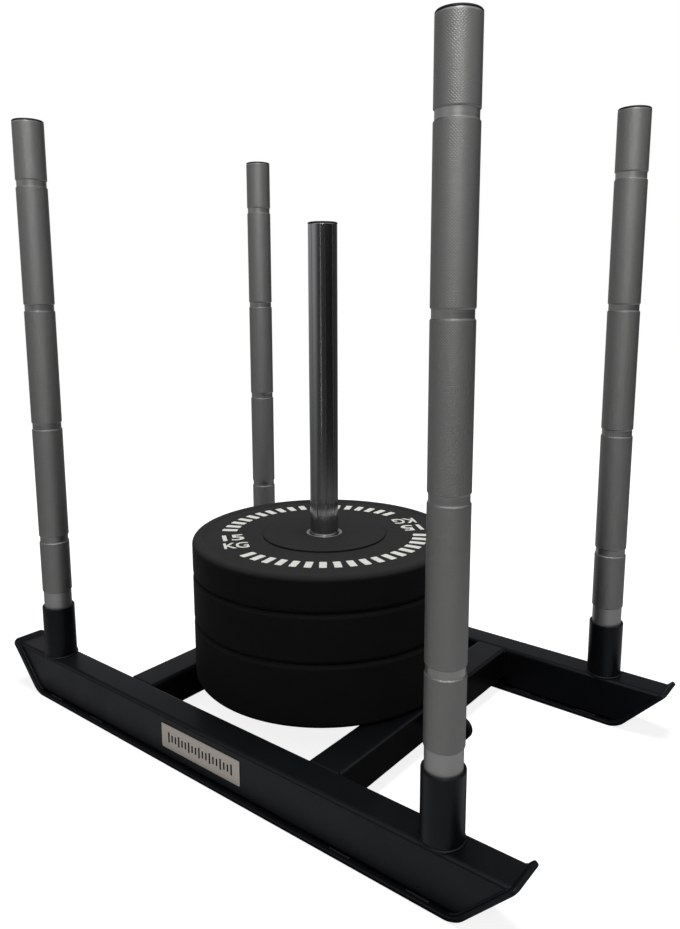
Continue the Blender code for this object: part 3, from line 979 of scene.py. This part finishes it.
class SLED_OT_poles(SledOperator, bpy.types.Operator):
    """Model the four push poles, knurled between smooth bands"""
    bl_idname = "sled.poles"
    bl_label = "Push poles"

    def build(self, sizes, colours):
        finishes = (knurled_chrome("rolled_knurl_chrome", colours.knurl, sizes.knurl),
                    turned_chrome("turned_band_chrome", colours.band, 0.40),
                    turned_chrome("turned_foot_chrome", colours.foot, 0.51))
        inside = PLAIN_R - POLE_WALL
        z = POLE_HI.z - POLE_LO.z
        points = [(inside, z), (KNURL_R, z, 0.0008, 3), (KNURL_R, z - TOP_RING)]
        bands = [(z - TOP_RING, z)]
        for zone in ZONES[:-1]:
            z -= zone
            points += [(KNURL_R, z + KNURL_STEP, 0.0005, 2), (PLAIN_R, z, 0.0004, 2)]
            bands.append((z - BAND_LENGTH, z))
            z -= BAND_LENGTH
            points += [(PLAIN_R, z, 0.0004, 2), (KNURL_R, z - KNURL_STEP, 0.0005, 2)]
        z -= ZONES[-1]
        points += [(KNURL_R, z + KNURL_STEP, 0.0005, 2), (PLAIN_R, z),
                   (PLAIN_R, 0.0016, 0.0006, 2), (PLAIN_R - 0.0016, 0.0), (inside, 0.0)]
        first = lathe("first", points, (POLE_X, RUNNER_Y, POLE_LO.z), 96)
        for finish in finishes:
            first.data.materials.append(finish)
        centre = Vector((POLE_X, RUNNER_Y))
        for face in first.data.polygons:
            level = face.center.z - POLE_LO.z
            bore = (Vector(face.center[:2]) - centre).length < inside + 0.0005
            if bore or level < z + 1e-5:
                face.material_index = 2
            elif any(a - 1e-5 < level < b + 1e-5 for a, b in bands):
                face.material_index = 1
        for word, pole in on_poles(first, "pole_"):
            ready(pole, None, "pole_" + word, "pole_metal", "push_pole_" + word)


class SLED_OT_plugs(SledOperator, bpy.types.Operator):
    """Model the plugs in the tops of the pin and the poles"""
    bl_idname = "sled.plugs"
    bl_label = "End plugs"

    def plug(self, name, lip, inside, lo, hi, centre, edge):
        """A lip with a rounded edge on a tube's end, and a plug in its bore."""
        top, lip_z, plug_r = hi.z, hi.z - CAP_LIP, inside - GAP
        return lathe(name, [(0.0, top), (lip * 0.55, top - 0.0001),
                            (lip, top - 0.0003, edge, 6), (lip, lip_z, 0.0004, 2),
                            (plug_r, lip_z), (plug_r, lo.z + 0.0015), (plug_r - 0.0015, lo.z),
                            (0.0, lo.z)], centre, 96, closed=False)

    def build(self, sizes, colours):
        resin = moulded_polyethylene("moulded_black_polyethylene", colours.plug)
        pin = self.plug("pin_plug", PIN_CAP_HI.x, PIN_R - PIN_WALL, PIN_CAP_LO, PIN_CAP_HI,
                        (0.0, 0.0, 0.0), sizes.plug_round)
        ready(pin, resin, "frame", "plug_plastic", "pin_cap")
        first = self.plug("first", (POLE_CAP_HI.x - POLE_CAP_LO.x) / 2, PLAIN_R - POLE_WALL,
                          POLE_CAP_LO, POLE_CAP_HI, (POLE_X, RUNNER_Y, 0.0), sizes.plug_round)
        for word, plug in on_poles(first, "pole_plug_"):
            ready(plug, resin, "pole_" + word, "plug_plastic", "pole_cap_" + word)


class SLED_OT_stage(SledOperator, bpy.types.Operator):
    """Lay the floor, hang the lamps, set the world and the camera"""
    bl_idname = "sled.stage"
    bl_label = "Stage"

    white = (1.0, 1.0, 1.0, 1.0)
    # Name, place, aim, size, watts, whether mirrors show it, whether it lights matt faces
    lamps = (
        ("overhead_softbox", (0.0, 0.15, 2.7), (0.0, 0.0, 0.3), (1.5, 1.5), 79.0, False, True),
        ("front_softbox", (1.8, -2.9, 3.2), (0.0, 0.0, 0.5), (3.0, 1.0), 24.0, False, True),
        ("high_softbox", (1.9, -2.4, 2.9), (0.2, -0.2, 0.8), (1.0, 0.8), 34.0, True, False),
        ("strip_light", (1.11, -2.79, 1.0), (0.0, 0.0, 0.6), (0.08, 2.0), 0.6, True, True))
    # Painted shadow: mirrors see the floor as a dim grey sheet over this half-size round the
    # sled's middle, where the sled's shadow would lie.
    painted_shadow_half = (0.46, 0.30, 0.0)            # half the floor that mirrors show dark
    camera_place = (0.8362463, -1.0086043, 0.7207929)
    camera_turn = (80.594235, 0.105801, 38.212423)      # degrees
    picture = (680, 929)                # pixels
    focal = 785.4762                    # in pixels, as the two below
    axis = (343.0906, 425.9021)         # where the camera's axis meets the picture
    sensor = 36.0

    def floor(self):
        """A pale floor that goes over to white away from the sled. Mirrors see a painted shadow
        on it:
        a dim grey sheet under the sled, where its shadow would lie, and see through it beyond, to
        the world's mirrored ground."""
        deselect()
        bpy.ops.mesh.primitive_plane_add(size=1.0, location=(0.0, 0.0, -0.0004))
        bpy.context.object.scale = (60.0, 60.0, 1.0)
        floor = named("studio_floor")
        made, tree = new_material("pale_studio_floor")
        path = add(tree, "LightPath").outputs
        place = place_on(tree)
        level = spread(tree, vectors(tree, "LENGTH", place)["Value"], 0.86, 1.0, 0.7, 2.2)
        pale, plain = (add(tree, "BsdfDiffuse", {0: (grey, grey, grey, 1.0)}).outputs[0]
                       for grey in (0.42, 0.06))
        glow = add(tree, "Emission", {0: self.white, 1: level}).outputs[0]
        seen = add(tree, "AddShader", {0: pale, 1: glow}).outputs[0]
        # Painted shadow for mirrors: glossy rays meet the dim grey sheet inside that half-size
        # and pass through the floor beyond it.
        past = vectors(tree, "SUBTRACT", vectors(tree, "ABSOLUTE", place)[0], self.painted_shadow_half)[0]
        x, y, _ = parted(tree, past)
        clear = ramp(tree, maths(tree, "MAXIMUM", x, y), 0.0, 0.035, 0.0, 1.0)
        mirrored = blend(tree, clear, plain, add(tree, "BsdfTransparent").outputs[0])
        rest = blend(tree, path["Is Glossy Ray"], plain, mirrored)
        add(tree, "OutputMaterial", {0: blend(tree, path["Is Camera Ray"], rest, seen)})
        floor.data.materials.append(made)

    def world(self):
        """White behind the sled. Mirrors show a dim grey studio instead: a pale wall at the
        left, a bright area high behind the camera, and a pale floor that seems to begin nearer
        on the far side."""
        world = bpy.data.worlds.new("white_studio")
        bpy.context.scene.world = world
        world.use_nodes = True
        tree = world.node_tree
        tree.nodes.clear()
        way = add(tree, "TexCoord").outputs["Generated"]
        side, _, height = parted(tree, way)
        facing = vectors(tree, "DOT_PRODUCT", way, (0.8, -0.6, 0.0))["Value"]

        left = maths(tree, "MULTIPLY", ramp(tree, side, -0.62, 0.15, 0.38, 0.0),
                     ramp(tree, height, -0.30, 0.25, 0.15, 1.0))
        left = maths(tree, "MULTIPLY", left, ramp(tree, height, 0.30, 0.46, 1.0, 0.12))
        bright = maths(tree, "MULTIPLY_ADD", ramp(tree, height, 0.14, 0.40, 0.0, 0.78),
                       ramp(tree, facing, -0.4, 0.3, 0.0, 1.0), left)
        wall = maths(tree, "ADD", bright, ramp(tree, side, 0.50, 0.85, 0.045, 0.014))
        near = maths(tree, "ADD", height, spread(tree, side, 0.10, 0.0, -0.4, 0.1))
        near = maths(tree, "SUBTRACT", near, spread(tree, facing, 0.26, 0.0, -0.95, -0.72))
        ground = ramp(tree, near, -0.40, -0.20, 0.48, 0.0)
        room = maths(tree, "MAXIMUM", wall, ground)

        lit, mirrored, seen = (add(tree, "Background", {0: self.white, 1: level}).outputs[0]
                               for level in (0.02, room, 1.0))
        path = add(tree, "LightPath").outputs
        soft = blend(tree, path["Is Glossy Ray"], lit, mirrored)
        add(tree, "OutputWorld", {0: blend(tree, path["Is Camera Ray"], soft, seen)})

    def lamp(self, name, place, aim, size, power, mirrored, lights):
        """Hang an area lamp that points at a spot."""
        deselect()
        bpy.ops.object.light_add(type="AREA", location=place)
        lamp = bpy.context.object
        lamp.name = name
        lamp.data.shape = "RECTANGLE"
        lamp.data.size, lamp.data.size_y = size
        lamp.data.energy = power
        turn = (Vector(aim) - Vector(place)).to_track_quat("-Z", "Y")
        lamp.rotation_euler = turn.to_euler()
        lamp.visible_glossy = mirrored
        lamp.visible_diffuse = lights

    def build(self, sizes, colours):
        self.floor()
        self.world()
        for row in self.lamps:
            self.lamp(*row)
        deselect()
        bpy.ops.object.camera_add(location=self.camera_place,
                                  rotation=[radians(turn) for turn in self.camera_turn])
        camera = bpy.context.object
        camera.name = "photo_camera"
        wide, high = self.picture
        camera.data.sensor_width = self.sensor
        camera.data.lens = self.focal / high * self.sensor
        camera.data.shift_x = (wide / 2 - self.axis[0]) / high
        camera.data.shift_y = (self.axis[1] - high / 2) / high
        camera.data.clip_end = 100.0
        scene = bpy.context.scene
        scene.camera = camera
        scene.view_settings.view_transform = "Standard"


OPERATORS = (SLED_OT_runners, SLED_OT_skids, SLED_OT_cross_frame, SLED_OT_tow_lug,
             SLED_OT_welds, SLED_OT_badge, SLED_OT_loading_pin, SLED_OT_discs,
             SLED_OT_bushes, SLED_OT_markings, SLED_OT_sockets, SLED_OT_poles,
             SLED_OT_plugs, SLED_OT_stage)


class SLED_PT_panel(bpy.types.Panel):
    """Lists the sled's pieces, sizes and colours"""
    bl_label = "Weight sled"
    bl_space_type = "VIEW_3D"
    bl_region_type = "UI"
    bl_category = "Weight sled"

    def draw(self, context):
        for operator in OPERATORS:
            self.layout.operator(operator.bl_idname)
        for group in (context.scene.sled_sizes, context.scene.sled_colours):
            box = self.layout.box()
            for key in type(group).__annotations__:
                box.prop(group, key)


CLASSES = (SledSizes, SledColours, *OPERATORS, SLED_PT_panel)


def register():
    for cls in CLASSES:
        bpy.utils.register_class(cls)
    bpy.types.Scene.sled_sizes = bpy.props.PointerProperty(type=SledSizes)
    bpy.types.Scene.sled_colours = bpy.props.PointerProperty(type=SledColours)


def unregister():
    del bpy.types.Scene.sled_colours
    del bpy.types.Scene.sled_sizes
    for cls in reversed(CLASSES):
        bpy.utils.unregister_class(cls)


def main():
    register()
    for operator in OPERATORS:
        group, name = operator.bl_idname.split(".")
        getattr(getattr(bpy.ops, group), name)()


if __name__ == "__main__":
    main()
